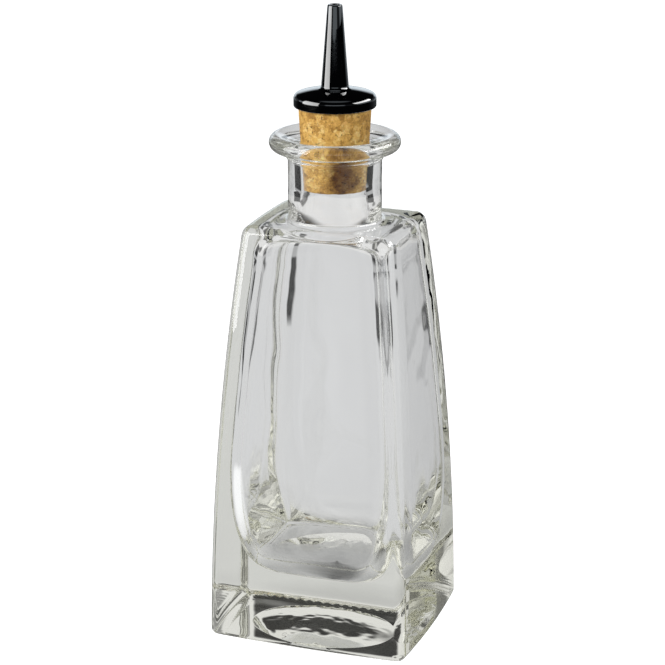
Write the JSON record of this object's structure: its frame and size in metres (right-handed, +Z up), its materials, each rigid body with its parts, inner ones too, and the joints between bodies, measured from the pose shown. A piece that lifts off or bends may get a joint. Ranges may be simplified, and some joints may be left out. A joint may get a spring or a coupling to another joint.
{
  "type": "bitters bottle",
  "caption": "Tapered four-sided glass bottle with a thick base and flanged mouth, closed by a cork with a metal nozzle that doses drops",
  "frame": {"origin": "centre of the foot, on the surface that the bottle stands on", "axes": "+Z up the bottle's axis to the nozzle tip, +X along the wider pair of foot edges, -Y towards the wide front face"},
  "size_m": [0.0664, 0.0594, 0.1976],
  "materials": {
    "clear_glass": "clear soda-lime glass, fire-polished, very faint green tint in the thick edges",
    "cork": "agglomerated cork, matt, warm tan with darker grains",
    "black_plated_metal": "glossy black plating over turned metal",
    "plain_steel": "plain drawn stainless tube"
  },
  "bodies": {
    "bottle": {"glass_bottle": "clear_glass"},
    "stopper": {"cork_stopper": "cork", "dasher_top": "black_plated_metal", "feed_tube": "plain_steel"}
  },
  "joints": [
    {"name": "stopper_pull", "type": "slide", "parent": "bottle", "child": "stopper", "axis": [0, 0, 1], "range_m": [0, 0.05]}
  ]
}
